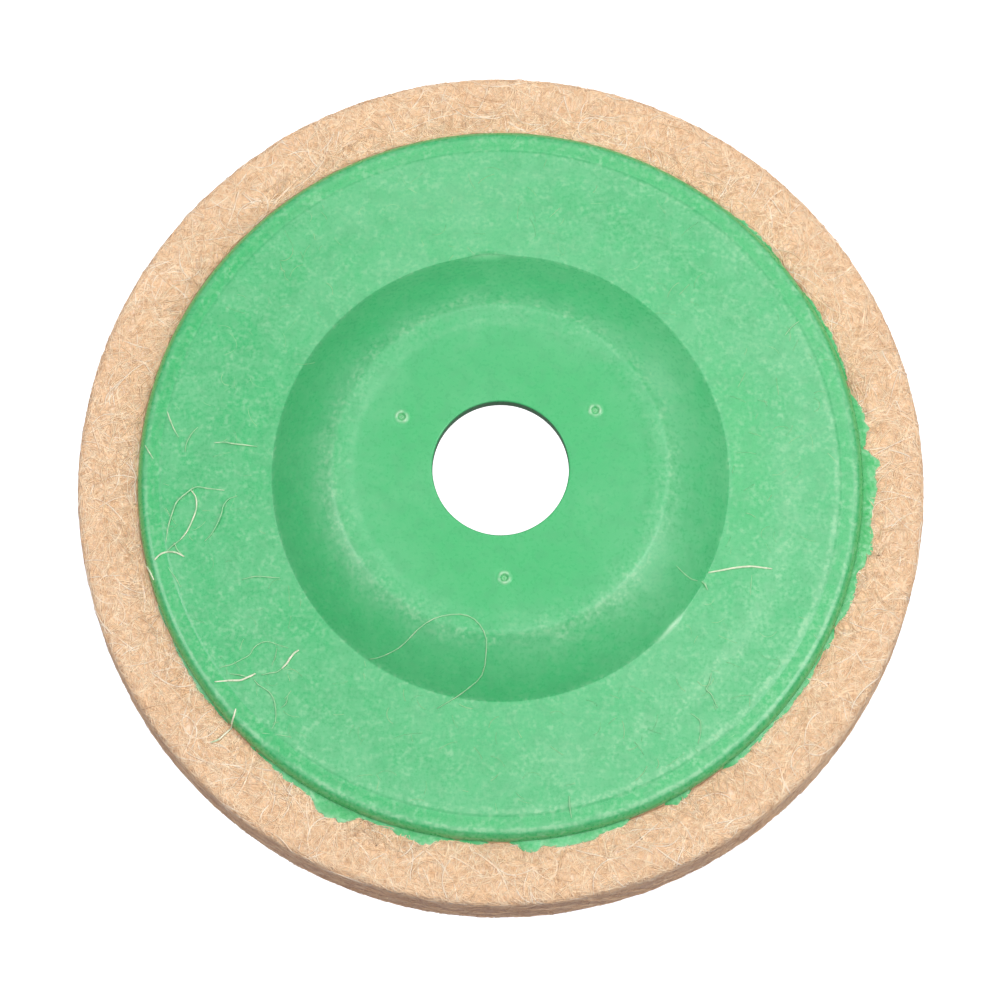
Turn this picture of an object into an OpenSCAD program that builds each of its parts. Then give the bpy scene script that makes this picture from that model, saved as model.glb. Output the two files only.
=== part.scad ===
// Felt polishing wheel for a small angle grinder.
// A ring of pressed wool felt is bonded under a moulded plate with a raised hub.
// The felt's working face lies in the plane Z = 0, and +Z points to the grinder.
// The origin is on the wheel's axis. All sizes are in millimetres.

/* [Felt ring] */
// Outer diameter of the felt
felt_d = 100; // [94:1:110]
// Diameter of the hole through the felt
felt_hole_d = 50; // [47:0.5:52]
// Thickness of the felt under the plate
felt_t = 11; // [8:0.5:14]
// Drop of the felt's back face from the rim of the plate to its own edge
felt_fall = 0.6; // [0.2:0.1:1.2]
// Radius of the felt's outer edge at the back
felt_back_edge = 0.8; // [0.4:0.1:1.5]
// Radius of the felt's outer edge at the working face
felt_face_edge = 0.3; // [0.1:0.1:1]

/* [Backing plate] */
// Diameter of the rim where it meets the felt
rim_d = 85.8; // [85:0.2:88]
// Height of the rim's side wall
rim_h = 1.8; // [1.4:0.1:2.4]
// Distance that the side wall leans in towards the axis below its rounded edge
rim_lean = 0.2; // [0:0.1:0.5]
// Radius of the edge between the side wall and the back of the rim
rim_edge_r = 0.8; // [0.4:0.1:1]
// Diameter of the step inside the band that runs round the rim
band_d = 80; // [78:0.5:81]
// Height of the step at that band
band_step = 0.25; // [0.1:0.05:0.4]
// Height of the flange's back surface above the felt at the foot of the hub
flange_h = 4; // [3.4:0.1:4.4]

/* [Hub] */
// Diameter of the hub at its foot
hub_foot_d = 53.8; // [53:0.2:56]
// Overall height of the wheel
total_h = 20; // [19.5:0.1:23]
// Thickness of the hub's end plate and wall
hub_t = 2.3; // [1.8:0.1:2.8]
// Radius of the edge between the hub's end and its wall
hub_edge_r = 2; // [0.5:0.5:4]
// Slope of the hub's wall just below that edge
wall_top_slope = 25; // [20:1:30]
// Slope of the hub's wall at its foot
wall_foot_slope = 45; // [40:1:50]
// Diameter of the seat for the grinder's flange
seat_d = 35.2; // [34:0.2:36]
// Depth of the seat below the rest of the hub's end
seat_step = 0.1; // [0.05:0.05:0.2]
// Diameter of the bore for the grinder's spindle
bore_d = 16; // [14:0.1:17]

/* [Gate marks] */
// Number of moulding gates round the bore
gate_count = 3; // [2:1:6]
// Diameter of the circle that the gate marks lie on
gate_circle_d = 26.2; // [24:0.2:28]
// Direction of the first gate mark
gate_angle = 32; // [0:1:120]
// Diameter of a gate dimple
gate_d = 1.6; // [1.2:0.1:2]
// Depth of a gate dimple
gate_depth = 0.35; // [0.2:0.05:0.5]

/* [Bond and flash] */
// Thickness of the bond between felt and plate
bond_t = 0.3; // [0.2:0.05:0.4]
// Distance of the bond's edges from the edges of the plate's underside
bond_inset = 0.4; // [0.2:0.1:0.8]

/* [Hidden] */

felt_r = felt_d / 2;
felt_hole_r = felt_hole_d / 2;
rim_r = rim_d / 2;
band_r = band_d / 2;
hub_foot_r = hub_foot_d / 2;
plate_z = felt_t + bond_t;
flange_z = felt_t + flange_h;
hub_rise = total_h - flange_z;

// The hub's wall is a long arc that runs on smoothly from the rounded edge of its end.
wall_rise = hub_rise - hub_edge_r * (1 - cos(wall_top_slope));
wall_r = wall_rise / (cos(wall_top_slope) - cos(wall_foot_slope));
wall_centre = [hub_foot_r, flange_z] - wall_r * [sin(wall_foot_slope), cos(wall_foot_slope)];
edge_centre = wall_centre + (wall_r - hub_edge_r) * [sin(wall_top_slope), cos(wall_top_slope)];

// The hollow under the hub follows the wall one thickness further in, out to the felt's hole.
hollow_z = total_h - hub_t;
hollow_wall_r = wall_r - hub_t;
hollow_top_slope = acos((hollow_z - wall_centre[1]) / hollow_wall_r);
hollow_foot_slope = asin((felt_hole_r - wall_centre[0]) / hollow_wall_r);

// Fins of flash: [direction, half of the width, both in degrees, reach past the rim]
fins = [
    [-18, 6, 1.0],
    [-9, 7, 1.7],
    [-1, 6, 1.7],
    [3, 3, 2.4],
    [10, 5, 1.2],
    [-34, 7, 0.5],
    [-47, 7, 0.5],
    [-85, 3, 1.3],
    [-103, 5, 1.3],
    [-117, 5, 2.1],
    [-126, 6, 0.6],
    [-146, 10, 0.4],
    [25, 9, 0.6],
    [46, 8, 0.5],
    [70, 8, 0.4]
];
// Width of one step along the torn edge of a fin, in degrees
fin_step = 0.75;

// Points of an arc in the half plane of a turned outline, from angle a0 to angle a1
function arc(centre, r, a0, a1, steps) = [
    for (i = [0 : steps])
        let (a = a0 + (a1 - a0) * i / steps)
        [centre[0] + r * cos(a), centre[1] + r * sin(a)]
];

// Reach of a fin at direction a: a low arch with a torn edge
function fin_reach(fin, a) =
    let (t = (a - fin[0]) / fin[1])
    fin[2] * (1 - t * t) * (0.9 + 0.06 * sin(131 * a) + 0.04 * sin(293 * a));

// Ring of pressed wool felt. Its back face falls away outside the plate.
module felt_ring() {
    back_z = felt_t - felt_fall;
    color([0.94, 0.80, 0.65])
    rotate_extrude($fn = 180)
    polygon(concat(
        [[felt_hole_r, 0]],
        arc([felt_r - felt_face_edge, felt_face_edge], felt_face_edge, -90, 0, 5),
        arc([felt_r - felt_back_edge, back_z - felt_back_edge], felt_back_edge, 0, 84, 6),
        [[rim_r + 0.3, felt_t], [felt_hole_r, felt_t]]
    ));
}

// Film of resin that holds the felt to the plate
module bond_layer() {
    color([0.45, 0.33, 0.20])
    translate([0, 0, felt_t])
    difference() {
        cylinder(h = bond_t, r = rim_r - bond_inset, $fn = 180);
        translate([0, 0, -1])
        cylinder(h = bond_t + 2, r = felt_hole_r + bond_inset, $fn = 180);
    }
}

// Turned outline of the plate: rim, band, flange, hub, and the hollow under the hub
module plate_outline() {
    rim_top = plate_z + rim_h;
    band_z = rim_top + band_step;
    polygon(concat(
        [[bore_d / 2, hollow_z]],
        arc(wall_centre, hollow_wall_r, 90 - hollow_top_slope, 90 - hollow_foot_slope, 6),
        [
            [felt_hole_r, plate_z],
            [rim_r, plate_z]
        ],
        arc([rim_r - rim_lean - rim_edge_r, rim_top - rim_edge_r], rim_edge_r, 0, 90, 6),
        [
            [band_r + band_step, rim_top + band_step / 2],
            [band_r, band_z + band_step / 2],
            [hub_foot_r, flange_z]
        ],
        arc(wall_centre, wall_r, 90 - wall_foot_slope, 90 - wall_top_slope, 8),
        arc(edge_centre, hub_edge_r, 90 - wall_top_slope, 90, 4),
        [
            [seat_d / 2, total_h],
            [seat_d / 2, total_h - seat_step],
            [bore_d / 2, total_h - seat_step]
        ]
    ));
}

// Dimple left by a moulding gate, with the torn stub of the gate in its middle
module gate_dimple() {
    seat_z = total_h - seat_step;
    translate([0, 0, seat_z - gate_depth])
    difference() {
        cylinder(h = gate_depth + 1, d = gate_d, $fn = 48);
        translate([0, 0, -1])
        cylinder(h = gate_depth + 0.9, d = gate_d * 0.45, $fn = 48);
    }
}

// Moulded plate with its raised hub
module backing_plate() {
    color([0.40, 0.80, 0.55])
    difference() {
        rotate_extrude($fn = 180)
        plate_outline();
        for (i = [0 : gate_count - 1])
            rotate([0, 0, gate_angle + 360 * i / gate_count])
            translate([gate_circle_d / 2, 0, 0])
            gate_dimple();
    }
}

// Outline of one fin from inside the rim to its torn edge
module fin_outline(fin) {
    steps = round(2 * fin[1] / fin_step);
    first = fin[0] - fin[1];
    edge = [
        for (i = [0 : steps])
            let (a = first + 2 * fin[1] * i / steps)
            (rim_r + fin_reach(fin, a)) * [cos(a), sin(a)]
    ];
    polygon(concat([[0, 0]], edge));
}

// Fins of plastic squeezed out over the felt under the rim
module moulding_flash() {
    color([0.35, 0.78, 0.50])
    translate([0, 0, felt_t])
    difference() {
        linear_extrude(height = bond_t)
        for (fin = fins)
            fin_outline(fin);
        translate([0, 0, -1])
        cylinder(h = bond_t + 2, r = rim_r - bond_inset, $fn = 180);
    }
}

felt_ring();
bond_layer();
backing_plate();
moulding_flash();
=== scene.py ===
"""Looks of a felt polishing wheel: a green moulded plate with a raised hub, bonded to a ring of wool felt.

Lengths are in millimetres until a mesh is made, and directions are in degrees, counterclockwise from +X.
The felt's working face is at Z = 0, and +Z points to the grinder.
"""

import math

import bpy
import numpy as np
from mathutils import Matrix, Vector


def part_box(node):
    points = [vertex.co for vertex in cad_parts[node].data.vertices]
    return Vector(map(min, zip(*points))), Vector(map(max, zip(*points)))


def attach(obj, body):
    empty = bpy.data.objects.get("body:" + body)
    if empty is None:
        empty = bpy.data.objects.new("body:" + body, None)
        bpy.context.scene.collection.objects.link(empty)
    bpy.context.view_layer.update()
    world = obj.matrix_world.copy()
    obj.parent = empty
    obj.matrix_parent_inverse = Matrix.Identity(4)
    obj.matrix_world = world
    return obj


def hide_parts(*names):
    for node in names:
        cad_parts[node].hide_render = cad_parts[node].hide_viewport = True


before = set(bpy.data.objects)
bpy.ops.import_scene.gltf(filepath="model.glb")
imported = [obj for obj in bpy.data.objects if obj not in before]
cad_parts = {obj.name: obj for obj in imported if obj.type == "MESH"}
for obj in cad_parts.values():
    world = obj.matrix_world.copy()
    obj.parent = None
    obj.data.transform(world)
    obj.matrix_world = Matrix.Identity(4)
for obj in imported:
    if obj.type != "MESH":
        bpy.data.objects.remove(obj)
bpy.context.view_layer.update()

MM = 0.001
BODY = "root"

# Sizes that the CAD nodes give
PLATE_LOW, PLATE_HIGH = (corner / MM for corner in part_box("backing_plate"))
FELT_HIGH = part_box("felt_ring")[1] / MM
FELT_R = FELT_HIGH.x
FELT_T = FELT_HIGH.z
RIM_R = PLATE_HIGH.x
PLATE_Z = PLATE_LOW.z
TOTAL_H = PLATE_HIGH.z

# Backing plate. The shoulder is the edge between the hub's end and its wall, and the swell is in the flange.
RIM_TOP_R = RIM_R - 0.9
RIM_TOP_Z = PLATE_Z + 1.8
BAND_R = 40.0
BAND_STEP = 0.25
FLANGE_Z = FELT_T + 4.0
SWELL_R = 34.2
HUB_FOOT_R = 26.9
SHOULDER_R = 20.0
HUB_EDGE_R = 2.0
WALL_TOP_SLOPE = math.radians(25)
WALL_FOOT_SLOPE = math.radians(45)
HUB_T = 2.3
HOLE_R = 25.0
SEAT_R = 17.6
SEAT_Z = TOTAL_H - 0.1
BORE_R = 8.0
GATE_CIRCLE_R = 13.1
GATE_ANGLES = (32.0, 152.0, 272.0)

# Felt
FELT_EDGE_Z = FELT_T - 0.6
FELT_FALL_R = RIM_R + 0.3
FELT_BACK_EDGE = 1.0
FELT_FACE_EDGE = 0.3
FELT_HOLE_EDGE = 0.4


# ---------------------------------------------------------------- outlines, noise and smooth steps

def arc(centre, radius, first, last, steps):
    """Points of an arc about centre, from angle first to angle last, in radians."""
    turn = np.linspace(first, last, steps + 1)
    return [(centre[0] + radius * math.cos(a), centre[1] + radius * math.sin(a), 0) for a in turn]


def rounded(corners, closed):
    """Outline through corners (R, z, rounding). A rounding above 0 cuts the corner with a small curve."""
    points = []
    last = len(corners) - 1
    for i, (x, z, rounding) in enumerate(corners):
        here = np.array([x, z])
        if rounding == 0 or (not closed and i in (0, last)):
            points.append(here)
            continue
        before = np.array(corners[i - 1][:2]) - here
        after = np.array(corners[(i + 1) % len(corners)][:2]) - here
        a = here + before * min(0.45, rounding / np.linalg.norm(before))
        b = here + after * min(0.45, rounding / np.linalg.norm(after))
        for t in np.linspace(0, 1, 6):
            points.append((1 - t) ** 2 * a + 2 * t * (1 - t) * here + t * t * b)
    return np.array(points)


def spaced(path, closed, step):
    """The path with each stretch cut into parts no longer than step(R, z)."""
    points = []
    count = len(path) if closed else len(path) - 1
    for i in range(count):
        a, b = path[i], path[(i + 1) % len(path)]
        middle = (a + b) / 2
        parts = max(1, math.ceil(np.linalg.norm(b - a) / step(*middle)))
        points += [a + (b - a) * k / parts for k in range(parts)]
    if not closed:
        points.append(path[-1])
    return np.array(points)


def value_noise(points, size, seed):
    """Smooth random values from -1 to 1 at points in mm, with features about size mm across."""
    lattice = np.random.default_rng(seed).uniform(-1, 1, (32, 32, 32))
    cell = points / size
    base = np.floor(cell).astype(int)
    t = cell - base
    t = t * t * (3 - 2 * t)
    total = np.zeros(points.shape[:-1])
    for corner in range(8):
        offset = np.array([corner & 1, corner >> 1 & 1, corner >> 2])
        index = (base + offset) % 32
        weight = np.prod(np.where(offset == 1, t, 1 - t), axis=-1)
        total += weight * lattice[index[..., 0], index[..., 1], index[..., 2]]
    return total


def bell(x, centre, width):
    """A smooth bump of height 1 at centre."""
    return np.exp(-((x - centre) / width) ** 2)


def ramp(x, low, high):
    """0 below low and 1 above high, with a smooth rise between them."""
    t = np.clip((x - low) / (high - low), 0, 1)
    return t * t * (3 - 2 * t)


def plateau(x, low, rise, fall, high):
    """1 from rise to fall, and 0 below low and above high."""
    return ramp(x, low, rise) * (1 - ramp(x, fall, high))


def angle_gap(a, b):
    """Distance between directions a and b, in degrees."""
    return np.abs((a - b + 180) % 360 - 180)


def near(angle, direction, width):
    """A smooth bump of height 1 at a direction."""
    return bell(angle_gap(angle, direction), 0, width)


def toward(angle, direction):
    """1 at a direction and 0 opposite it, with a smooth change between them."""
    return 0.5 + 0.5 * np.cos(np.radians(angle - direction))


# ---------------------------------------------------------------- meshes

def make_mesh(name, points, faces, marks=None):
    """A smooth-shaded object from points in mm. marks are values per point that the materials read."""
    mesh = bpy.data.meshes.new(name)
    sides = faces.shape[1]
    mesh.vertices.add(len(points))
    mesh.vertices.foreach_set("co", (points * MM).astype(np.float32).ravel())
    mesh.loops.add(faces.size)
    mesh.loops.foreach_set("vertex_index", faces.astype(np.int32).ravel())
    mesh.polygons.add(len(faces))
    mesh.polygons.foreach_set("loop_start", np.arange(0, faces.size, sides, dtype=np.int32))
    mesh.update(calc_edges=True)
    mesh.shade_smooth()
    for mark, values in (marks or {}).items():
        attribute = mesh.attributes.new(mark, "FLOAT", "POINT")
        attribute.data.foreach_set("value", np.asarray(values, np.float32).ravel())
    piece = bpy.data.objects.new(name, mesh)
    bpy.context.scene.collection.objects.link(piece)
    return piece


def grid_faces(rows, columns):
    """Quads of a grid of points that closes on itself both ways."""
    i, j = np.meshgrid(np.arange(rows), np.arange(columns), indexing="ij")
    i, j = i.ravel(), j.ravel()
    up, on = (i + 1) % rows, (j + 1) % columns
    corners = [i * columns + j, up * columns + j, up * columns + on, i * columns + on]
    return np.stack(corners, axis=1)


def turned(path, angles):
    """Points of the outline path turned round the Z axis, with their normals, both (angles, path, 3)."""
    turn = np.radians(angles)[:, None]
    along = np.roll(path, -1, axis=0) - np.roll(path, 1, axis=0)
    along /= np.linalg.norm(along, axis=1)[:, None] + 1e-12
    radius, height = path[:, 0], path[:, 1] + 0 * turn
    out, rise = along[:, 1], -along[:, 0] + 0 * turn
    points = np.stack([radius * np.cos(turn), radius * np.sin(turn), height], axis=-1)
    normals = np.stack([out * np.cos(turn), out * np.sin(turn), rise], axis=-1)
    return points, normals


def ring_mesh(name, points, marks=None):
    """Mesh of points (angles, path, 3) whose outline runs counterclockwise in the (R, z) half plane."""
    rows, columns = points.shape[:2]
    faces = grid_faces(rows, columns)
    flat = {mark: values.ravel() for mark, values in (marks or {}).items()}
    return make_mesh(name, points.reshape(-1, 3), faces, flat)


def strand_mesh(name, lines, ups, widths, sides, flat=1.0, marks=None):
    """Thin closed tubes along lines (strands, points, 3). widths is (strands, points).
    Their thickness towards ups is flat times their width."""
    count, steps = lines.shape[:2]
    along = np.gradient(lines, axis=1)
    along /= np.linalg.norm(along, axis=2, keepdims=True) + 1e-12
    across = np.cross(along, ups)
    across /= np.linalg.norm(across, axis=2, keepdims=True) + 1e-12
    lift = np.cross(across, along)
    turn = math.pi / 2 + np.arange(sides) * 2 * math.pi / sides
    side = across[:, :, None, :] * np.cos(turn)[:, None]
    rise = lift[:, :, None, :] * np.sin(turn)[:, None] * flat
    points = lines[:, :, None, :] + (side + rise) * widths[:, :, None, None] / 2
    i, k = np.meshgrid(np.arange(steps - 1), np.arange(sides), indexing="ij")
    i, k = i.ravel(), k.ravel()
    on = (k + 1) % sides
    corners = [i * sides + k, i * sides + on, (i + 1) * sides + on, (i + 1) * sides + k]
    skin = np.stack(corners, axis=1)
    triangles = np.concatenate([skin[:, [0, 1, 2]], skin[:, [0, 2, 3]]])
    fan = np.arange(1, sides - 1)
    start_cap = np.stack([0 * fan, fan + 1, fan], axis=1)
    end_cap = (steps - 1) * sides + np.stack([0 * fan, fan, fan + 1], axis=1)
    one = np.concatenate([triangles, start_cap, end_cap])
    faces = (one[None] + np.arange(count)[:, None, None] * steps * sides).reshape(-1, 3)
    spread = {mark: np.repeat(values, steps * sides) for mark, values in (marks or {}).items()}
    return make_mesh(name, points.reshape(-1, 3), faces[:, ::-1], spread)


# ---------------------------------------------------------------- outline of the plate

def flange_line():
    """The flange's back surface from the foot of the hub to the band: a cone with a gentle swell."""
    radius = np.linspace(HUB_FOOT_R, BAND_R, 80)
    slope = 1 + 1.1 * bell(radius, SWELL_R, 1.9) + 2.4 * ramp(radius, BAND_R - 0.9, BAND_R)
    fall = np.concatenate([[0], np.cumsum((slope[1:] + slope[:-1]) / 2)])
    end_z = RIM_TOP_Z + BAND_STEP
    height = FLANGE_Z - (FLANGE_Z - end_z) * fall / fall[-1]
    return [(r, z, 0) for r, z in zip(radius, height)]


def plate_corners():
    """Corners of the plate's back from the bore out to the rim, and of its underside back to the bore."""
    edge_rise = HUB_EDGE_R * (1 - math.cos(WALL_TOP_SLOPE))
    wall_rise = TOTAL_H - FLANGE_Z - edge_rise
    wall_r = wall_rise / (math.cos(WALL_TOP_SLOPE) - math.cos(WALL_FOOT_SLOPE))
    wall_x = HUB_FOOT_R - wall_r * math.sin(WALL_FOOT_SLOPE)
    wall_z = FLANGE_Z - wall_r * math.cos(WALL_FOOT_SLOPE)
    edge_x = wall_x + (wall_r - HUB_EDGE_R) * math.sin(WALL_TOP_SLOPE)
    edge_z = wall_z + (wall_r - HUB_EDGE_R) * math.cos(WALL_TOP_SLOPE)
    up = math.pi / 2
    hub_edge = arc((edge_x, edge_z), HUB_EDGE_R, up, up - WALL_TOP_SLOPE, 5)
    wall = arc((wall_x, wall_z), wall_r, up - WALL_TOP_SLOPE, up - WALL_FOOT_SLOPE, 12)[1:-1]
    flange = flange_line()
    back = [(BORE_R, SEAT_Z, 0.25), (SEAT_R - 0.5, SEAT_Z, 0.3), (SEAT_R + 0.5, TOTAL_H, 0.3)]
    back += hub_edge + wall + [(HUB_FOOT_R, FLANGE_Z, 0.3)] + flange[1:-1]
    back += [
        (BAND_R, RIM_TOP_Z + BAND_STEP, 0.1),
        (BAND_R + 0.3, RIM_TOP_Z + 0.08, 0.12),
        (RIM_TOP_R - 0.3, RIM_TOP_Z + 0.04, 0.15),
        (RIM_TOP_R + 0.2, RIM_TOP_Z - 0.14, 0.2),
        (RIM_R - 0.2, RIM_TOP_Z - 0.8, 0.25),
        (RIM_R, PLATE_Z, 0.1),
    ]
    hollow_r = wall_r - HUB_T
    hollow_z = TOTAL_H - HUB_T
    top_turn = math.asin((hollow_z - wall_z) / hollow_r)
    foot_turn = math.acos((HOLE_R - wall_x) / hollow_r)
    under = [(HOLE_R, PLATE_Z, 0.3)]
    under += arc((wall_x, wall_z), hollow_r, foot_turn, top_turn, 8)
    under += [(BORE_R, hollow_z, 0.25)]
    return back, under


PLATE_BACK, PLATE_UNDER = plate_corners()
BACK_LINE = rounded(PLATE_BACK, closed=False)
FELT_BACK = [(HOLE_R, FELT_T), (FELT_FALL_R, FELT_T), (FELT_R - 0.8, FELT_EDGE_Z)]


def back_z(radius):
    """Height of the plate's back at a radius."""
    return np.interp(radius, BACK_LINE[:, 0], BACK_LINE[:, 1])


def felt_z(radius):
    """Height of the felt's back face at a radius."""
    return np.interp(radius, *zip(*FELT_BACK))


# ---------------------------------------------------------------- shader nodes

RANGE_SOCKETS = ("From Min", "From Max", "To Min", "To Max")


def scaled(colour, *factors):
    """The colour with each channel times its factor."""
    return tuple(c * k for c, k in zip(colour, factors))


class Look:
    """A material with one Principled shader, and short calls for the nodes that drive it."""

    def __init__(self, name, **values):
        self.material = bpy.data.materials.new(name)
        self.material.use_nodes = True
        self.tree = self.material.node_tree
        self.shader = self.tree.nodes["Principled BSDF"]
        for socket, value in values.items():
            self.shader.inputs[socket.replace("_", " ")].default_value = value
        self.place = self.tree.nodes.new("ShaderNodeTexCoord").outputs["Object"]

    def link(self, source, node, socket):
        if hasattr(source, "links"):
            self.tree.links.new(source, node.inputs[socket])
        else:
            node.inputs[socket].default_value = source

    def stretched(self, x, y, z, turn=0.0):
        """Object coordinates scaled along each axis, after a turn about Z."""
        node = self.tree.nodes.new("ShaderNodeMapping")
        node.inputs["Scale"].default_value = (x, y, z)
        node.inputs["Rotation"].default_value = (0, 0, turn)
        self.link(self.place, node, "Vector")
        return node.outputs["Vector"]

    def noise(self, size, detail=2.0, rough=0.5, warp=0.0, place=None):
        """Noise with features about size mm across, from 0 to 1."""
        node = self.tree.nodes.new("ShaderNodeTexNoise")
        node.inputs["Scale"].default_value = 1 / (size * MM)
        node.inputs["Detail"].default_value = detail
        node.inputs["Roughness"].default_value = rough
        node.inputs["Distortion"].default_value = warp
        self.link(place or self.place, node, "Vector")
        return node.outputs["Fac"]

    def mark(self, name):
        """A value that the mesh holds per point."""
        node = self.tree.nodes.new("ShaderNodeAttribute")
        node.attribute_name = name
        return node.outputs["Fac"]

    def math(self, operation, a, b=0.0, clamp=False):
        node = self.tree.nodes.new("ShaderNodeMath")
        node.operation = operation
        node.use_clamp = clamp
        self.link(a, node, 0)
        self.link(b, node, 1)
        return node.outputs[0]

    def window(self, value, low, high, out_low=0.0, out_high=1.0):
        """value from low..high taken to out_low..out_high, held at the ends."""
        node = self.tree.nodes.new("ShaderNodeMapRange")
        node.interpolation_type = "SMOOTHSTEP"
        self.link(value, node, "Value")
        for socket, number in zip(RANGE_SOCKETS, (low, high, out_low, out_high)):
            node.inputs[socket].default_value = number
        return node.outputs["Result"]

    def blend(self, factor, a, b):
        """Colour a where factor is 0 and b where it is 1."""
        node = self.tree.nodes.new("ShaderNodeMix")
        node.data_type = "RGBA"
        self.link(factor, node, "Factor")
        self.link(a if hasattr(a, "links") else (*a, 1), node, 6)
        self.link(b if hasattr(b, "links") else (*b, 1), node, 7)
        return node.outputs[2]

    def threads(self, size, width, warp, turn, flatten=0.35):
        """Thin curving lines where a stretched noise passes its middle value: 1 on a line and 0 off it."""
        place = self.stretched(1, flatten, 1, turn)
        value = self.noise(size, 1.0, 0.4, warp, place)
        off = self.math("ABSOLUTE", self.math("SUBTRACT", value, 0.5))
        return self.window(off, 0.0, width, 1.0, 0.0)

    def finish(self, colour, roughness, height, depth):
        """Connects the shader: colour, roughness and a bump of depth mm."""
        self.link(colour, self.shader, "Base Color")
        self.link(roughness, self.shader, "Roughness")
        bump = self.tree.nodes.new("ShaderNodeBump")
        bump.inputs["Strength"].default_value = 1.0
        bump.inputs["Distance"].default_value = depth * MM
        self.link(height, bump, "Height")
        self.link(bump.outputs["Normal"], self.shader, "Normal")
        return self.material


def plastic_look(name, deep, pale, white):
    """Moulded plastic filled with short glass fibres. Its marks, from 0 to 1, are
    deep: a plain skin with no clouds that also serves as painted shade,
    wear_and_painted_highlight: whitening from scuffing and strain and from painted highlights,
    white: torn edges, pale lumps and a painted glint,
    grime_and_painted_light: an olive tint, partly dirt and partly painted light in crevices,
    shade: painted shade in crevices, and calm: a smoother skin with fewer pale flecks."""
    look = Look(name, IOR=1.5)
    calm = look.mark("calm")
    cloud = look.window(look.noise(6, 4, 0.6, 0.6), 0.35, 0.65)
    colour = look.blend(cloud, deep, pale)
    # A plainer, darker green: partly the moulded skin and partly painted shade
    colour = look.blend(look.mark("deep"), colour, scaled(deep, 0.62, 1.0, 0.84))
    fine = look.noise(0.5, 2, 0.5)
    patch = look.window(look.noise(1.6, 3, 0.6), 0.3, 0.7)
    patch = look.window(patch, 0, 1, 0.2, 0.7)
    fleck = look.math("MULTIPLY", look.window(fine, 0.43, 0.72), patch)
    fleck = look.math("MULTIPLY", fleck, look.math("SUBTRACT", 1.0, calm))
    # Glass-fibre flecks, plus the whitening mark, which holds scuffing and painted highlights
    flecks_wear_and_highlight = look.math("MULTIPLY", look.mark("wear_and_painted_highlight"), look.window(fine, 0.35, 0.65, 0.45, 1.0))
    flecks_wear_and_highlight = look.math("ADD", fleck, flecks_wear_and_highlight, clamp=True)
    colour = look.blend(look.math("MULTIPLY", flecks_wear_and_highlight, 0.7), colour, white)
    dark = look.window(look.noise(1.8, 1, 0.5), 0.3, 0.55, 0.3, 0.0)
    colour = look.blend(dark, colour, scaled(deep, 0.84, 0.84, 0.84))
    colour = look.blend(look.mark("white"), colour, (0.62, 0.92, 0.62))
    # Olive tint on the rim's wall: partly dirt and partly painted light over the crevice's shade
    colour = look.blend(look.mark("grime_and_painted_light"), colour, (0.19, 0.56, 0.11))
    colour = look.blend(look.mark("shade"), colour, (0.03, 0.24, 0.07))
    rough = look.window(fine, 0.3, 0.7, 0.26, 0.34)
    rough = look.math("ADD", rough, look.math("MULTIPLY", flecks_wear_and_highlight, 0.05))
    grain = look.noise(0.16, 2, 0.5)
    skin = look.noise(0.9, 2, 0.5)
    height = look.math("ADD", look.math("MULTIPLY", grain, 0.25), look.math("MULTIPLY", fine, 0.45))
    height = look.math("ADD", height, look.math("MULTIPLY", skin, 0.6))
    height = look.math("MULTIPLY", height, look.math("SUBTRACT", 1.0, calm))
    return look.finish(colour, rough, height, 0.018)


def felt_look():
    """Pressed wool under the loose strands: a mat of curving threads over pits darkened with painted shade.
    """
    look = Look("felt_mat", IOR=1.45, Sheen_Weight=0.06, Sheen_Roughness=0.5)
    tone = look.window(look.noise(3.5, 3, 0.6), 0.3, 0.7)
    colour = look.blend(tone, (0.88, 0.62, 0.375), (0.92, 0.655, 0.40))
    # Pits: painted shade between the threads
    pit = look.window(look.noise(0.7, 2, 0.5, 0.3), 0.38, 0.55, 0.75, 0.0)
    colour = look.blend(pit, colour, (0.68, 0.43, 0.23))
    mat = 0.0
    for size, warp, turn in ((1.2, 0.8, 0.3), (1.0, 0.9, 1.4), (1.4, 0.7, 2.4)):
        line = look.threads(size, 0.022, warp, turn)
        mat = line if mat == 0.0 else look.math("MAXIMUM", mat, line)
    colour = look.blend(look.math("MULTIPLY", mat, 0.6), colour, (1.0, 0.83, 0.64))
    rough = look.window(mat, 0, 1, 0.95, 0.8)
    height = look.math("ADD", mat, look.noise(0.5, 3, 0.6, 0.5))
    return look.finish(colour, rough, height, 0.04)


def wool_look(name, dark, light, roughness=0.7):
    """Loose wool strands: each has a tone of its own, with slight changes along it."""
    look = Look(name, IOR=1.45, Sheen_Weight=0.04, Sheen_Roughness=0.4)
    along = look.window(look.noise(0.9, 1, 0.5), 0.3, 0.7, -0.38, 0.16)
    tone = look.math("ADD", look.mark("tone"), along, clamp=True)
    colour = look.blend(tone, dark, light)
    # Darker patches along each strand: painted shade of the pits it runs through
    pit = look.window(look.noise(0.7, 1, 0.5), 0.3, 0.43, 0.45, 0.0)
    colour = look.blend(pit, colour, scaled(dark, 0.8, 0.7, 0.62))
    rough = look.window(look.noise(0.3, 2, 0.5), 0.3, 0.7, roughness - 0.08, roughness + 0.1)
    return look.finish(colour, rough, look.noise(0.06, 2, 0.5), 0.01)


def resin_and_shade_look():
    """Tan resin squeezed out of the joint, dulled by wool dust. Its dark tan is also painted shade at the
    rim's foot.
    """
    look = Look("resin", IOR=1.5)
    tone = look.window(look.noise(1.4, 3, 0.6, 0.4), 0.3, 0.7)
    colour = look.blend(tone, (0.32, 0.22, 0.10), (0.50, 0.36, 0.18))
    dust = look.window(look.noise(0.3, 2, 0.6), 0.5, 0.7, 0.0, 0.5)
    colour = look.blend(dust, colour, (0.7, 0.5, 0.33))
    rough = look.window(look.noise(0.6, 2, 0.5), 0.3, 0.7, 0.35, 0.65)
    return look.finish(colour, rough, look.noise(0.3, 3, 0.6), 0.06)


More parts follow.
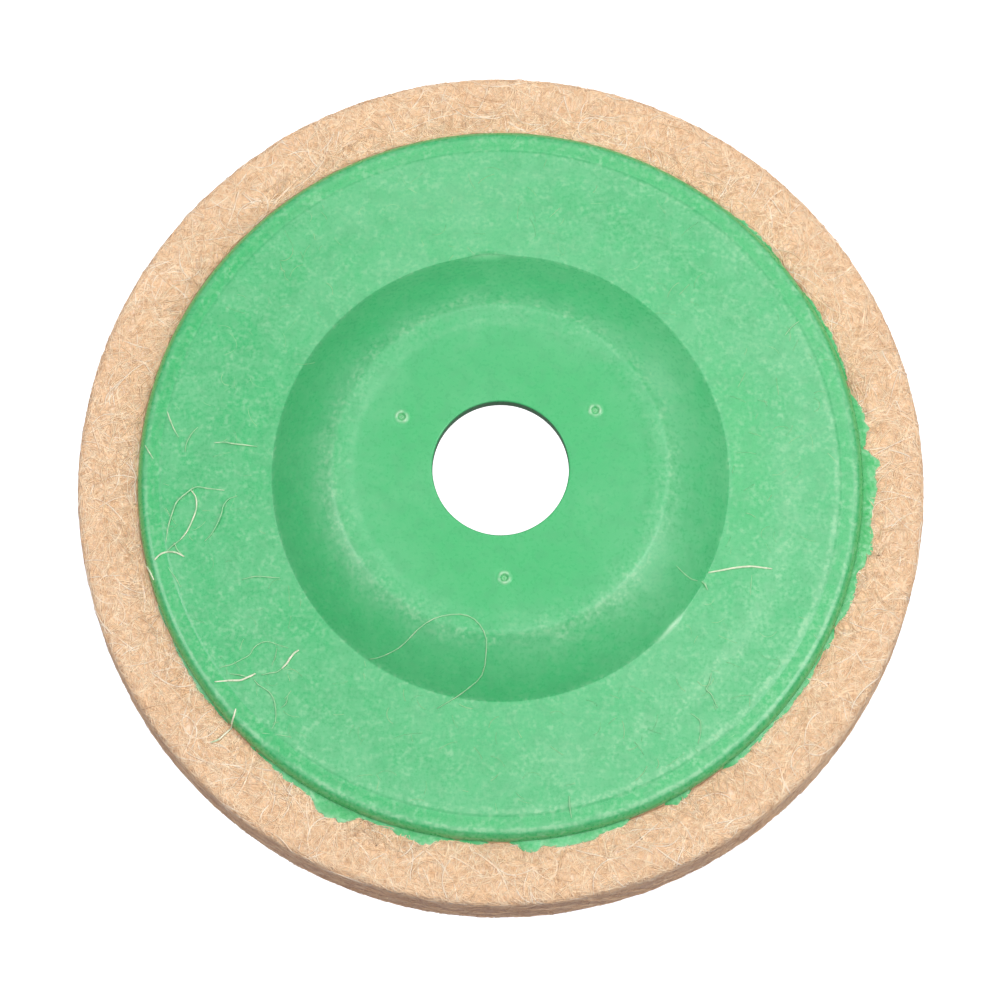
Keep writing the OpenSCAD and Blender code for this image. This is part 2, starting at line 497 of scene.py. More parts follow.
def stage_look(name, colour, light):
    """Pale matt paper."""
    look = Look(name)
    tone = look.noise(60, 2, 0.5)
    shade = look.blend(look.window(tone, 0.3, 0.7), scaled(colour, 0.99, 0.99, 0.99), colour)
    look.shader.inputs["Emission Color"].default_value = (1, 1, 1, 1)
    look.shader.inputs["Emission Strength"].default_value = light
    return look.finish(shade, 0.9, look.noise(0.5, 2, 0.5), 0.02)


def dress(piece, material):
    """Gives the piece its material and its body."""
    piece.data.materials.clear()
    piece.data.materials.append(material)
    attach(piece, BODY)
    return piece


# ---------------------------------------------------------------- backing plate

def plate_angles():
    """Directions of the plate's mesh lines, closer together across each gate mark."""
    coarse, fine, reach = 0.9, 0.3, 5.4
    even = np.arange(0, 360, coarse)
    clear = np.min([angle_gap(even, gate) for gate in GATE_ANGLES], axis=0) > reach
    dense = [np.arange(gate - reach, gate + reach + 0.01, fine) for gate in GATE_ANGLES]
    return np.sort(np.concatenate([even[clear], *dense]) % 360)


def plate_step(radius, height):
    """Spacing of the plate's mesh lines along its outline."""
    if height < FELT_T + 0.5 or (height < TOTAL_H - HUB_T + 0.1 and radius < HOLE_R):
        return 1.4
    if abs(radius - GATE_CIRCLE_R) < 1.2 and height > TOTAL_H - 1:
        return 0.09
    if abs(radius - HUB_FOOT_R) < 0.7:
        return 0.16
    return 0.5


def gate_relief(distance, turn):
    """Height and whiteness of a gate mark: a torn ring round a small pit with a nib in it."""
    torn = 1 + 0.35 * np.sin(2 * turn + 0.6) + 0.25 * np.sin(5 * turn)
    height = 0.085 * torn * bell(distance, 0.6, 0.15) - 0.3 * (1 - ramp(distance, 0.3, 0.48))
    height += 0.2 * bell(distance, 0, 0.13) - 0.03 * bell(distance, 1.0, 0.2)
    white = 0.55 * np.clip(torn - 0.2, 0, 1.3) * bell(distance, 0.6, 0.19)
    white += 0.35 * bell(distance, 0.12, 0.16)
    return height, white


def lump(angles, radius, centre_angle, centre_r, length, width):
    """A small swelling, length mm along the circle and width mm across it, seen at angles and radius."""
    run = (((angles - centre_angle + 180) % 360 - 180) * math.pi / 180) * centre_r
    return np.exp(-(run / length) ** 2 - ((radius - centre_r) / width) ** 2)


def plate_relief(points, angle, radius, height, on_back):
    """Height in mm and whiteness of the marks on the plate: gate marks, lumps at the foot, filled step."""
    relief = 0.03 * value_noise(points, 14, 1) + 0.012 * value_noise(points, 4, 2)
    relief += 0.006 * value_noise(points, 1.3, 3)
    white = np.zeros(radius.shape)
    on_top = height > TOTAL_H - 1
    for gate in GATE_ANGLES:
        centre = GATE_CIRCLE_R * np.array([math.cos(math.radians(gate)), math.sin(math.radians(gate))])
        x, y = np.moveaxis(points[..., :2] - centre, -1, 0)
        rise, pale = gate_relief(np.hypot(x, y), np.arctan2(y, x) + gate)
        relief += rise * on_top
        white += pale * on_top
    foot_lump = lump(angle, radius, 93.5, 26.75, 1.9, 0.45)
    # The sliver at the foot is a whitened scrape, and its white is also a painted glint
    foot_sliver = lump(angle, radius, -42, 26.95, 1.8, 0.22)
    relief += (0.32 * foot_lump + 0.12 * foot_sliver) * on_back
    white += (0.2 * foot_lump + 0.6 * foot_sliver) * on_back
    fill = 0.6 + 0.4 * ramp(np.cos(np.radians(angle - 170)), -0.5, 0.3)
    relief += 0.16 * fill * bell(radius, BAND_R + 0.45, 0.55) * on_back
    return relief, np.clip(white, 0, 1)


def plate_wear_and_highlight(points, angle, radius):
    """Whitening of the plate's back: some scuffing and strain, and above all painted highlights where the
    lights catch it.
    """
    right = toward(angle, -30)
    dim_sides = near(angle, 272, 14) + near(angle, 150, 20) + near(angle, 38, 20)
    highlight_sides = 1.25 * near(angle, 198, 32) + 2.0 * near(angle, 305, 22)
    # Shoulder of the hub: painted highlights, strongest on the sides where the lights catch it
    uneven = 0.3 + 0.35 * value_noise(points, 9, 5) ** 2
    wear_and_painted_highlight = uneven * (1 - 0.8 * dim_sides) * bell(radius, SHOULDER_R, 0.5)
    wear_and_painted_highlight += 0.16 * (1 - 0.6 * dim_sides) * bell(radius, SHOULDER_R + 1, 1.6)
    wear_and_painted_highlight += highlight_sides * (0.3 * bell(radius, SHOULDER_R + 0.3, 0.8) + 0.15 * bell(radius, SHOULDER_R + 2, 1.8))
    # End and wall of the hub: painted highlights and sheen
    wear_and_painted_highlight += 0.3 * near(angle, 335, 12) * bell(radius, 11.5, 2.0)
    wear_and_painted_highlight += 0.14 * near(angle, 190, 25) * plateau(radius, 12, 15, 18, 20)
    wear_and_painted_highlight += 0.5 * bell(radius, SEAT_R, 0.2) * (1 - ramp(angle_gap(angle, 140), 50, 110))
    wear_and_painted_highlight += 0.17 * toward(angle, 0) ** 2 * plateau(radius, 21, 23, 26.3, 27)
    # Flange, band and rim: painted sheen on the swell, painted highlights on the band's and rim's edges
    wear_and_painted_highlight += 0.09 * ramp(radius, 30, 36) * (0.5 + 0.5 * right) + 0.5 * right ** 2 * bell(radius, SWELL_R, 1.4)
    wear_and_painted_highlight += 1.5 * right ** 1.5 * bell(radius, BAND_R - 0.3, 0.34)
    wear_and_painted_highlight += 2.0 * toward(angle, -60) * bell(radius, RIM_TOP_R - 0.15, 0.24)
    return wear_and_painted_highlight


def plate_deep_and_painted_shade(angle, radius):
    """How far the plate's back shows a plain deep colour in place of the clouds: hub's end, wall and rim.
    Partly the moulded skin and partly painted shade that follows the lights, with less where highlights
    fall.
    """
    faded = near(angle, 195, 35) + near(angle, 105, 25) + near(angle, 345, 24)
    hub_end = 1 - ramp(radius - 3 * toward(angle, -30), 11, 19)
    depth = (0.72 - 0.3 * faded) * hub_end
    depth += 0.52 * (1 - 0.8 * toward(angle, 0) ** 2) * plateau(radius, 20.5, 23.5, 26.2, 27.2)
    depth += 0.7 * ramp(radius, BAND_R + 0.1, BAND_R + 0.5) * (1 - bell(radius, RIM_TOP_R - 0.1, 0.3))
    depth += 0.6 * near(angle, 5, 22) * plateau(radius, 27, 27.5, 30, 33)
    return depth


def make_plate():
    path = spaced(rounded(PLATE_UNDER + PLATE_BACK, closed=True), True, plate_step)[::-1]
    angles = plate_angles()
    points, normals = turned(path, angles)
    radius = np.broadcast_to(path[:, 0], points.shape[:2])
    height = np.broadcast_to(path[:, 1], points.shape[:2])
    angle = np.broadcast_to(angles[:, None], points.shape[:2])
    on_back = (height > back_z(radius) - 0.05) & (height > PLATE_Z + 0.05)
    relief, white = plate_relief(points, angle, radius, height, on_back)
    points = points + normals * relief[..., None]

    speckle = 0.5 + 0.5 * value_noise(points, 0.8, 4)
    front = ramp(np.cos(np.radians(angle + 105)), 0.0, 0.8)
    # Olive tint on the rim's outer wall, weaker at the front and towards the right: partly dirt, partly
    # painted light
    grime_and_painted_light = ramp(radius, RIM_TOP_R + 0.2, RIM_TOP_R + 0.5) * (0.5 - 0.1 * front - 0.3 * toward(angle, -30))
    under_rim = (1 - ramp(height - PLATE_Z, 0.1, 0.6)) * (radius > RIM_TOP_R)
    in_bore = (1 - ramp(radius, BORE_R, BORE_R + 0.15)) * (1 - ramp(height, SEAT_Z - 0.3, SEAT_Z))
    marks = {
        "wear_and_painted_highlight": plate_wear_and_highlight(points, angle, radius) * on_back * speckle,
        "white": white,
        "deep": plate_deep_and_painted_shade(angle, radius) * on_back,
        "grime_and_painted_light": grime_and_painted_light * (0.7 + 0.3 * speckle),
        "shade": 0.3 * front * under_rim + 0.85 * in_bore,
        "calm": 0.88 * (1 - ramp(radius, 16, 20)) + 0.75 * plateau(radius, 20.5, 22, 26.4, 27),
    }
    plate = ring_mesh("plate_moulding", points, marks)
    look = plastic_look("green_plastic", (0.066, 0.508, 0.179), (0.104, 0.528, 0.211), (0.36, 0.72, 0.405))
    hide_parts("backing_plate")
    return dress(plate, look)


# ---------------------------------------------------------------- flash and resin

# Thin fringes of flash between the fins: direction and half width in degrees, height in mm, and the offset,
# size and seed of the noise that breaks them up
FRINGES = (
    (212, 32, 0.4, 0.9, 3.1, 14),
    (256, 24, 0.5, 1.1, 2.6, 16),
    (67, 60, 0.3, 0.55, 2.3, 15),
    (318, 28, 0.6, 0.9, 2.1, 17),
    (287, 14, 0.7, 1.2, 2.2, 18),
)


def flash_reach(angles):
    """How far the flash passes the rim in each direction, in mm, with a finely torn edge."""
    co = np.array([vertex.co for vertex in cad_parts["moulding_flash"].data.vertices]) / MM
    radius = np.hypot(co[:, 0], co[:, 1])
    outer = radius > RIM_R - 0.01
    direction = np.degrees(np.arctan2(co[outer, 1], co[outer, 0])) % 360
    order = np.argsort(direction)
    reach = np.interp(angles, direction[order], radius[outer][order] - RIM_R, period=360)
    turn = np.radians(angles)
    circle = RIM_R * np.stack([np.cos(turn), np.sin(turn), 0 * angles], axis=-1)
    torn = 0.2 * value_noise(circle, 1.7, 11) + 0.1 * value_noise(circle, 0.5, 12)
    reach = reach * (1 + torn) + 0.12 * ramp(reach, 0, 0.3) * value_noise(circle, 0.9, 13)
    fringe = np.zeros_like(reach)
    for middle, half_width, height, offset, size, seed in FRINGES:
        level = value_noise(circle, size, seed) + offset - angle_gap(angles, middle) / half_width
        fringe += height * ramp(level, 0, 1)
    return np.maximum(reach, fringe - 0.08)


def make_flash():
    """Thin plastic skin squeezed out over the felt, ragged at its edge."""
    angles = np.arange(0, 360, 0.15)
    reach = flash_reach(angles)[:, None]
    inner = RIM_R - 0.45
    shares = np.concatenate([np.linspace(0, 0.9, 10), [0.96, 1.0]])
    outer = RIM_R + reach
    radius = inner + shares * (outer - inner)
    turn = np.radians(angles)[:, None]
    spot = np.stack([radius * np.cos(turn), radius * np.sin(turn), 0 * radius], axis=-1)
    rough = 0.05 * value_noise(spot, 0.8, 21) + 0.03 * value_noise(spot, 0.35, 22)
    free = ramp(radius, RIM_R, RIM_R + 0.5)
    lip = 0.05 * bell(shares, 0.85, 0.15) * ramp(reach, 0.4, 1.2)
    base = felt_z(radius) + 0.02 + 0.5 * free * np.abs(rough)
    thick = 0.3 * (1 - 0.8 * shares ** 1.5) * np.sqrt(1 - 0.9 * shares ** 6)
    top = base + thick + free * (rough + lip)
    under = np.stack([radius, base], axis=-1)
    over = np.stack([radius, top], axis=-1)[:, ::-1]
    section = np.concatenate([under, over], axis=1)
    out, up = section[..., 0], section[..., 1]
    points = np.stack([out * np.cos(turn), out * np.sin(turn), up], axis=-1)
    edge = np.concatenate([shares, shares[::-1]]) * np.ones_like(turn)
    marks = {
        "wear_and_painted_highlight": (0.6 - 0.3 * np.cos(turn)) * ramp(edge, 0.35, 1) * ramp(reach, 0.1, 0.5),
        "white": 0.2 * ramp(edge, 0.8, 1) * ramp(reach, 0.4, 1.0),
        "shade": 0.2 * (1 - ramp(out, RIM_R, RIM_R + 0.12)),
        "deep": ramp(np.cos(turn), 0.5, 0.9) * (1 - 0.6 * edge),
    }
    flash = ring_mesh("flash_skin", points, marks)
    look = plastic_look("green_flash", (0.05, 0.49, 0.14), (0.10, 0.61, 0.23), (0.42, 0.80, 0.46))
    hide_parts("moulding_flash")
    return dress(flash, look)


def make_resin():
    """The bond: a film between felt and plate that swells into a thin bead round the rim.
    The bead is resin and also a dark line of painted shade along the rim's foot.
    """
    angles = np.arange(0, 360, 0.4)
    inner = HOLE_R + 0.4
    outline = [
        (inner, FELT_T, 0.1),
        (RIM_R, FELT_T, 0.05),
        (RIM_R, PLATE_Z + 0.05, 0.12),
        (inner, PLATE_Z, 0.1),
    ]
    path = spaced(rounded(outline, closed=True), True, lambda r, z: 0.12 if r > RIM_R - 0.5 else 2.0)
    points, normals = turned(path, angles)
    at_rim = ramp(path[:, 0], RIM_R - 0.6, RIM_R)
    swell = 0.09 * value_noise(points, 1.1, 31) + 0.05 * value_noise(points, 0.4, 32) + 0.08
    covered = ramp(flash_reach(angles), 0.05, 0.3)[:, None]
    swell = (swell * (1 - covered) - 0.15 * covered) * at_rim
    resin = ring_mesh("resin_bead_and_painted_shade", points + normals * swell[..., None])
    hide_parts("bond_layer")
    return dress(resin, resin_and_shade_look())


# ---------------------------------------------------------------- felt

FELT_OUTLINE = [
    (HOLE_R, 0, FELT_HOLE_EDGE),
    (FELT_R, 0, FELT_FACE_EDGE),
    (FELT_R, FELT_EDGE_Z, FELT_BACK_EDGE),
    (FELT_FALL_R, FELT_T, 0.3),
    (RIM_R - 0.6, FELT_T, 0.3),
    (HOLE_R, FELT_T, 0.2),
]


def felt_step(radius, height):
    """Spacing of the felt's mesh lines along its outline."""
    if height > FELT_T - 0.05 and radius < RIM_R - 0.6:
        return 2.0
    if radius > RIM_R - 0.6 and height > 0.5:
        return 0.34
    return 0.5


def felt_relief(points):
    """Gentle unevenness of the pressed felt, and the swell where it meets the plate's rim, in mm."""
    relief = 0.05 * value_noise(points, 6, 41) + 0.03 * value_noise(points, 1.5, 42)
    x, y, z = np.moveaxis(points, -1, 0)
    radius = np.hypot(x, y) + 1e-9
    far_side = ramp((y * 0.8 - x * 0.6) / radius, -0.3, 0.6)
    swell = (0.06 + 0.24 * far_side) * bell(radius, RIM_R, 0.8) * (z > FELT_T - 1)
    bulge = 0.07 * (1 + (0.77 * x - 0.64 * y) / radius) * ramp(radius, FELT_R - 0.7, FELT_R - 0.1)
    return relief + swell + bulge


def make_felt(look):
    """The pressed body of the felt, sunk a little so that the strands on it end up at its true size."""
    path = spaced(rounded(FELT_OUTLINE, closed=True), True, felt_step)
    points, normals = turned(path, np.arange(0, 360, 0.52))
    free = 1 - (path[:, 1] > FELT_T - 0.02) * ramp(-path[:, 0], 0.2 - RIM_R, 0.6 - RIM_R)
    relief = felt_relief(points) - 0.045 + 0.012 * value_noise(points, 0.7, 43)
    felt = ring_mesh("felt_body", points + normals * (relief * free)[..., None])
    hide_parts("felt_ring")
    return dress(felt, look)


def track_frame(track, position, angle):
    """Point, normal and radius at a distance along an open outline, turned to an angle in radians."""
    lengths = np.concatenate([[0], np.cumsum(np.linalg.norm(np.diff(track, axis=0), axis=1))])
    along = np.gradient(track, axis=0)
    along /= np.linalg.norm(along, axis=1)[:, None]
    radius = np.interp(position, lengths, track[:, 0])
    height = np.interp(position, lengths, track[:, 1])
    out = np.interp(position, lengths, along[:, 1])
    rise = -np.interp(position, lengths, along[:, 0])
    size = np.hypot(out, rise) + 1e-9
    point = np.stack([radius * np.cos(angle), radius * np.sin(angle), height], axis=-1)
    normal = np.stack([out * np.cos(angle), out * np.sin(angle), rise], axis=-1) / size[..., None]
    return point, normal, radius


def felt_strands(
    name, corners, count, seed, look, steps=8, longest=7.5, loose=0.3, wide=(0.09, 0.16), pale=0.0
):
    """Wool strands that wander over the felt along an open outline, rising out of it and diving back in.
    longest, loose and wide are in mm: length, height of the arches, and range of widths."""
    rng = np.random.default_rng(seed)
    track = spaced(rounded(corners, closed=False), False, lambda r, z: 0.3)
    total = np.linalg.norm(np.diff(track, axis=0), axis=1).sum()
    radius_at = track_frame(track, np.linspace(0, total, 60), np.zeros(60))[2]
    share = np.cumsum(radius_at) / radius_at.sum()
    start = np.interp(rng.random(count), share, np.linspace(0, total, 60))
    angle = rng.uniform(0, 2 * math.pi, count)
    heading = rng.uniform(0, 2 * math.pi, count)
    length = rng.uniform(1.6, longest, count) * rng.uniform(0.5, 1, count)
    bend = rng.normal(0, 0.19, count)
    twist = rng.normal(0, 0.24, count)
    position = start.copy()
    lines, ups = [], []
    base = rng.uniform(-0.04, 0.02, count) + 0.06 * pale
    arch = loose * rng.beta(0.5, 7, count)
    pitch = length / (steps - 1)
    for k in range(steps):
        t = k / (steps - 1)
        held = total - np.abs(total - np.abs(position))
        point, normal, radius = track_frame(track, held, angle)
        lift = felt_relief(point) + base + arch * math.sin(math.pi * t) - 0.06 * (abs(2 * t - 1)) ** 3
        lines.append(point + normal * lift[:, None])
        ups.append(normal)
        heading = heading + (bend + twist * math.cos(5 * t)) * pitch
        position = position + np.sin(heading) * pitch
        angle = angle + np.cos(heading) * pitch / radius
    lines, ups = np.stack(lines, axis=1), np.stack(ups, axis=1)
    across = np.linspace(-1, 1, steps)
    widths = rng.uniform(*wide, count)[:, None] * (1 - 0.55 * np.abs(across) ** 3)
    tone = np.clip(rng.beta(1.6, 2.0, count) + pale, 0, 1)
    strands = strand_mesh(name, lines, ups, widths, 3, 0.5, {"tone": tone})
    return dress(strands, look)


def make_felt_strands(look, pale_look):
    """Strands on the back of the felt, at the plate's rim, and on the side, the face and the hole's wall."""
    edge = (FELT_R, FELT_EDGE_Z, FELT_BACK_EDGE)
    face_edge = (FELT_R, 0, FELT_FACE_EDGE)
    fall = [(FELT_FALL_R, FELT_T, 0.2), (RIM_R + 0.1, FELT_T, 0)]
    back = [(FELT_R, FELT_EDGE_Z - 2, 0), edge, *fall]
    rim = [(RIM_R + 0.2, FELT_T + 0.14, 0), (RIM_R + 2.8, FELT_T - 0.2, 0)]
    side = [(FELT_R - 1.5, 0, 0), face_edge, edge, (FELT_R - 1.5, FELT_EDGE_Z + 0.1, 0)]
    face = [(HOLE_R, 2, 0), (HOLE_R, 0, FELT_HOLE_EDGE), face_edge, (FELT_R, 1.5, 0)]
    hole = [(HOLE_R, FELT_T - 0.6, 0), (HOLE_R, 0.3, 0)]
    long_back = {"steps": 12, "longest": 12.0, "wide": (0.11, 0.17), "pale": 0.35}
    pale_back = {"steps": 12, "longest": 11.0, "wide": (0.16, 0.24), "pale": 0.5}
    felt_strands("felt_strands_back_a", back, 4300, 51, look, longest=6.0, wide=(0.11, 0.19))
    felt_strands("felt_strands_back_b", back, 4300, 52, look, longest=8.0, wide=(0.11, 0.2))
    felt_strands("felt_strands_back_c", back, 1700, 56, look, **long_back)
    felt_strands("felt_strands_back_d", back, 420, 58, pale_look, **pale_back)
    felt_strands("felt_strands_rim", rim, 420, 57, look, longest=5.0)
    felt_strands("felt_strands_side", side, 4300, 53, look, loose=0.15)
    felt_strands("felt_strands_face", face, 4300, 54, look, loose=0.15)
    felt_strands("felt_strands_hole", hole, 700, 55, look, loose=0.2)


# ---------------------------------------------------------------- loose fibres on the plate

# Stray fibres on the plate's back or on the felt beside it: thickness, and points (x, y) of the route
STRAY_ROUTES = [
    (0.16, [(-39.6, 9.1), (-39.2, 7.7), (-38.6, 6.2), (-38.0, 5.1)]),
    (0.13, [(-37.2, 3.3), (-37.1, 4.2), (-36.7, 5.1), (-36.2, 5.8), (-35.7, 6.3)]),
    (0.16, [(-33.7, 4.3), (-32.5, 4.3), (-31.6, 4.1), (-30.1, 3.9), (-28.7, 3.7)]),
    (0.15, [(-42.0, 4.3), (-41.5, 3.4), (-41.0, 2.6)]),
    (0.15, [
        (-39.4, -7.6), (-39.1, -5.6), (-38.6, -3.9), (-38.1, -2.7), (-37.1, -1.8), (-35.9, -1.0),
        (-34.5, -1.2), (-32.5, -1.5)
    ]),
    (0.18, [(-36.5, -1.3), (-35.9, -2.2), (-35.8, -3.5), (-36.2, -4.8), (-36.9, -6.3), (-37.7, -7.3)]),
    (0.20, [(-40.7, -9.6), (-40.1, -9.0), (-39.3, -8.7), (-38.2, -8.8), (-37.2, -9.3)]),
    (0.13, [(-37.7, -7.3), (-38.6, -8.0), (-39.4, -8.7)]),
    (0.14, [(-38.4, -7.6), (-38.0, -8.5), (-37.2, -9.3)]),
    (0.12, [
        (-31.0, -2.2), (-32.0, -2.6), (-32.6, -3.4), (-32.8, -4.3), (-33.3, -5.5), (-34.0, -6.7),
        (-34.8, -7.5)
    ]),
    (0.11, [(-39.5, -9.6), (-38.9, -10.8), (-38.2, -11.8), (-37.6, -12.9)]),
    (0.20, [(-42.0, -9.1), (-41.7, -10.0), (-41.2, -11.0), (-40.8, -11.9)]),
    (0.12, [(-30.3, -12.2), (-28.8, -11.9), (-27.3, -12.0), (-25.9, -12.1)]),
    (0.21, [
        (-33.5, -24.2), (-32.0, -24.1), (-30.5, -24.1), (-29.7, -23.8), (-29.0, -23.5), (-28.7, -23.3)
    ]),
    (0.13, [(-31.7, -23.3), (-30.5, -23.5), (-29.7, -23.7)]),
    (0.13, [(-28.0, -23.5), (-27.0, -23.3), (-26.2, -23.2), (-25.6, -22.8)]),
    (0.22, [(-25.6, -22.8), (-25.0, -22.2), (-24.6, -21.6), (-24.1, -21.0), (-23.6, -20.7)]),
    (0.11, [
        (-33.8, -23.0), (-32.7, -22.5), (-31.5, -22.2), (-30.3, -21.6), (-29.4, -21.1), (-28.9, -20.3),
        (-28.2, -19.8), (-27.3, -19.6), (-26.1, -20.0), (-24.9, -20.4)
    ]),
    (0.10, [(-26.2, -20.4), (-26.4, -21.5), (-26.8, -22.4)]),
    (0.13, [
        (-28.9, -24.0), (-28.4, -24.6), (-27.8, -25.0), (-27.0, -25.6), (-26.5, -26.5), (-26.3, -27.6),
        (-26.3, -28.8), (-26.6, -29.6), (-27.0, -30.1)
    ]),
    (0.10, [(-27.9, -30.3), (-27.0, -30.4), (-25.6, -30.6), (-24.5, -30.8)]),
    (0.10, [(-24.9, -26.0), (-25.1, -26.9), (-25.7, -27.4)]),
    (0.20, [(-31.0, -27.4), (-31.2, -28.2), (-31.5, -29.0), (-31.6, -29.4)]),
    (0.21, [(-31.6, -29.4), (-32.4, -30.1), (-33.1, -30.7), (-34.0, -31.0)]),
    (0.14, [
        (-15.3, -21.9), (-14.1, -21.8), (-12.8, -21.4), (-11.7, -20.9), (-10.7, -20.1), (-9.6, -19.1),
        (-8.2, -18.2), (-6.8, -17.7), (-5.3, -17.5), (-4.0, -17.6), (-2.9, -18.2), (-2.1, -19.2),
        (-1.6, -20.5), (-1.7, -21.9), (-1.8, -23.1), (-2.3, -24.4), (-3.3, -25.2), (-4.5, -26.0),
        (-5.9, -26.8), (-7.4, -27.7)
    ]),
    (0.21, [(24.4, -11.5), (26.0, -11.2), (27.5, -10.9), (29.3, -10.7), (30.7, -10.8), (31.9, -10.9)]),
    (0.12, [(20.6, -11.3), (21.3, -11.9), (22.3, -12.5), (23.1, -12.6)]),
    (0.16, [(23.6, -12.6), (24.0, -13.0), (24.3, -13.6)]),
    (0.10, [(29.5, -11.7), (29.4, -12.9), (29.3, -14.1)]),
    (0.13, [(8.0, -37.8), (8.1, -39.2), (8.3, -40.4)]),
    (0.12, [(24.7, -23.3), (24.4, -24.6), (24.1, -25.3), (24.7, -25.9), (25.4, -27.4)]),
    (0.10, [(22.3, -28.1), (23.1, -28.7), (23.4, -29.2), (23.4, -30.3), (23.1, -31.6)]),
    (0.12, [(33.7, 17.5), (34.5, 18.5), (35.5, 19.4)]),
]


def smooth_line(points, count):
    """A Catmull-Rom curve through the points, at count even steps of its parameter."""
    knots = np.vstack([2 * points[0] - points[1], points, 2 * points[-1] - points[-2]])
    place = np.linspace(0, len(points) - 1 - 1e-6, count)
    k = place.astype(int)
    t = (place - k)[:, None]
    a, b, c, d = knots[k], knots[k + 1], knots[k + 2], knots[k + 3]
    square = 2 * a - 5 * b + 4 * c - d
    cube = 3 * b - a - 3 * c + d
    return 0.5 * (2 * b + (c - a) * t + square * t ** 2 + cube * t ** 3)


def ground_z(x, y):
    """Height of what a stray fibre lies on: the plate, or the felt outside it."""
    radius = np.hypot(x, y)
    return np.where(radius < RIM_R - 0.02, back_z(radius), felt_z(radius) + 0.12)


def upright(lines):
    """An upward direction for each point of the lines."""
    ups = np.zeros_like(lines)
    ups[..., 2] = 1
    return ups


def make_stray_fibres(rng):
    """The long stray fibres. Thick ones are pale, and thin ones take the green of the plate."""
    steps = 28
    lines, widths = [], []
    for width, route in STRAY_ROUTES:
        flat = smooth_line(np.array(route, float), steps)
        lift = width * 0.4 + 0.10 * abs(rng.normal()) * np.sin(np.linspace(0, math.pi, steps)) ** 2
        lines.append(np.column_stack([flat, ground_z(*flat.T) + lift]))
        widths.append(width * (1 - 0.4 * np.abs(np.linspace(-1, 1, steps)) ** 3))
    lines, widths = np.array(lines), 1.15 * np.array(widths)
    tone = ramp(np.array([width for width, _ in STRAY_ROUTES]), 0.12, 0.22)
    strays = strand_mesh("stray_fibres", lines, upright(lines), widths, 6, marks={"tone": tone})
    return dress(strays, wool_look("stray_wool", (0.32, 0.70, 0.36), (0.93, 0.93, 0.70), 0.5))


def make_fibre_dust(rng, count):
    """Short bits of fibre that lie all over the flange and the rim."""
    steps = 8
    radius = np.sqrt(rng.uniform(27.5 ** 2, 41.0 ** 2, count))
    angle = rng.uniform(0, 2 * math.pi, count)
    heading = rng.uniform(0, 2 * math.pi, count)
    bend = rng.normal(0, 0.5, count)
    pitch = rng.uniform(0.6, 2.6, count) / (steps - 1)
    x, y = radius * np.cos(angle), radius * np.sin(angle)
    lines = []
    for _ in range(steps):
        lines.append(np.stack([x, y, ground_z(x, y) + 0.015], axis=-1))
        heading = heading + bend * pitch
        x, y = x + np.cos(heading) * pitch, y + np.sin(heading) * pitch
    lines = np.stack(lines, axis=1)
    widths = rng.uniform(0.035, 0.065, count)[:, None] * np.ones(steps)
    tone = rng.uniform(0, 1, count)
    dust = strand_mesh("fibre_dust", lines, upright(lines), widths, 4, marks={"tone": tone})
    return dress(dust, wool_look("dust_wool", (0.2, 0.62, 0.28), (0.5, 0.78, 0.42), 0.5))


# ---------------------------------------------------------------- stage, lights, camera

CENTRE = Vector((0, 0, 10.2)) * MM
LIGHT_DISTANCE = 1.0


def make_stage():
    """A plain pale floor that curves up into a wall, far enough down to stay bright through the bore.
    It shows only to the camera, so the light on the wheel comes from the soft lights and the sky."""
    middle, reach, top = -150.0, 2600.0, 2500.0
    inside = [(0.01, middle, 0), (reach, middle, 900), (reach, top, 0)]
    outside = [(reach + 20, top, 0), (reach + 20, middle - 20, 0), (0.01, middle - 20, 0)]
    path = spaced(rounded(inside + outside, closed=True), True, lambda r, z: 120.0)[::-1]
    points, _ = turned(path, np.arange(0, 360, 3.0))
    sweep = ring_mesh("floor_sweep", points)
    sweep.data.materials.append(stage_look("pale_paper", (0.9, 0.9, 0.9), 0.6))
    sweep.visible_diffuse = False
    sweep.visible_glossy = False
    sweep.visible_shadow = False


def softbox(name, azimuth, elevation, size, strength):
    """A square area light aimed at the wheel. strength is what it adds to a white face turned to it."""
    light = bpy.data.lights.new(name, "AREA")
    light.shape = "SQUARE"
    light.size = size
    light.energy = strength * math.pi * math.pi * LIGHT_DISTANCE ** 2
    lamp = bpy.data.objects.new(name, light)
    a, e = math.radians(azimuth), math.radians(elevation)
    away = Vector((math.cos(a) * math.cos(e), math.sin(a) * math.cos(e), math.sin(e)))
    lamp.location = CENTRE + away * LIGHT_DISTANCE
    lamp.rotation_euler = away.to_track_quat("Z", "Y").to_euler()
    bpy.context.scene.collection.objects.link(lamp)


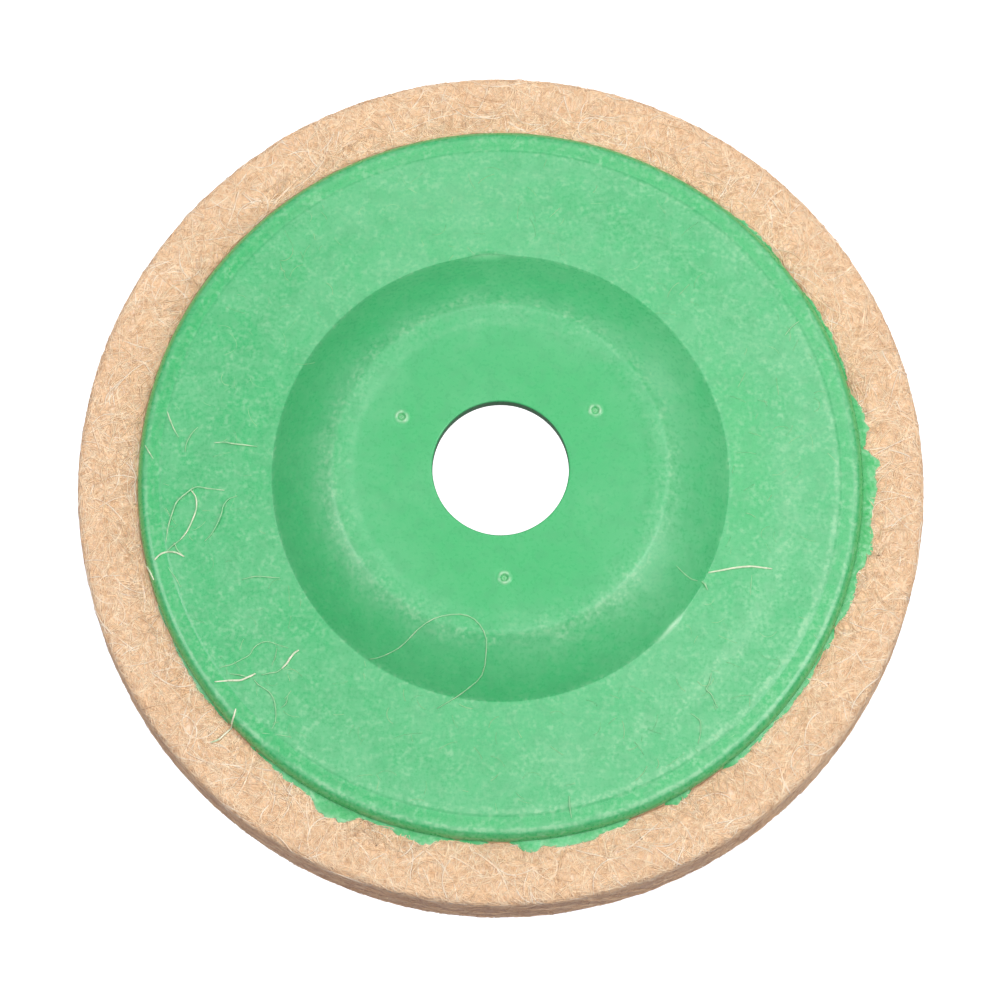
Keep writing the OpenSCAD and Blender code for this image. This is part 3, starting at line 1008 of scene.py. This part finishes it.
def make_lights():
    """Soft lights, strongest from the right and the left, under a sky that is dimmer and pinker low down."""
    softbox("light_right", -15, 57, 0.28, 0.192)
    softbox("light_low", -20, 40, 0.3, 0.11)
    softbox("light_swell", 18, 61, 0.28, 0.04)
    softbox("light_over", 50, 68, 0.35, 0.07)
    softbox("light_wall", 42, 24, 0.3, 0.055)
    softbox("light_top", -60, 82, 0.36, 0.08)
    softbox("light_wide", 40, 84, 1.2, 0.215)
    softbox("light_left", 184, 52, 0.32, 0.218)
    softbox("light_back", 98, 56, 0.3, 0.08)
    world = bpy.data.worlds.new("studio")
    bpy.context.scene.world = world
    world.use_nodes = True
    tree = world.node_tree
    sky = tree.nodes["Background"]
    way = tree.nodes.new("ShaderNodeTexCoord")
    parts = tree.nodes.new("ShaderNodeSeparateXYZ")
    fade = tree.nodes.new("ShaderNodeMapRange")
    for socket, number in zip(RANGE_SOCKETS, (-0.3, 0.45, 0.21, 0.37)):
        fade.inputs[socket].default_value = number
    tree.links.new(way.outputs["Generated"], parts.inputs["Vector"])
    tree.links.new(parts.outputs["Z"], fade.inputs["Value"])
    tree.links.new(fade.outputs["Result"], sky.inputs["Strength"])
    tint = tree.nodes.new("ShaderNodeMix")
    tint.data_type = "RGBA"
    tint.inputs[6].default_value = (1.0, 0.79, 1.0, 1)
    tint.inputs[7].default_value = (1, 1, 1, 1)
    tree.links.new(fade.outputs["Result"], tint.inputs["Factor"])
    tree.links.new(tint.outputs[2], sky.inputs["Color"])


def make_camera():
    """A long lens nearly over the hub, tilted a little towards the front."""
    distance, tilt, lens, shift_up = 800.0, math.radians(12.45), 243.0, 1.75
    away = Vector((0, -math.sin(tilt), math.cos(tilt)))
    up = Vector((0, math.cos(tilt), math.sin(tilt)))
    camera = bpy.data.cameras.new("camera")
    camera.lens = lens
    camera.sensor_width = 36.0
    camera.clip_start = 0.05
    camera.clip_end = 20.0
    rig = bpy.data.objects.new("camera", camera)
    rig.location = CENTRE + away * distance * MM
    target = CENTRE - up * shift_up * MM
    rig.rotation_euler = (target - rig.location).to_track_quat("-Z", "Y").to_euler()
    bpy.context.scene.collection.objects.link(rig)
    bpy.context.scene.camera = rig


# ---------------------------------------------------------------- the scene

make_camera()
make_lights()
make_stage()
make_plate()
make_flash()
make_resin()
make_felt(felt_look())
make_felt_strands(
    wool_look("wool", (0.94, 0.67, 0.40), (1.0, 0.835, 0.59)),
    wool_look("wool_pale", (0.97, 0.72, 0.46), (1.0, 0.88, 0.69)),
)
fibre_rng = np.random.default_rng(61)
make_stray_fibres(fibre_rng)
make_fibre_dust(fibre_rng, 260)
bpy.context.scene.view_settings.view_transform = "Standard"
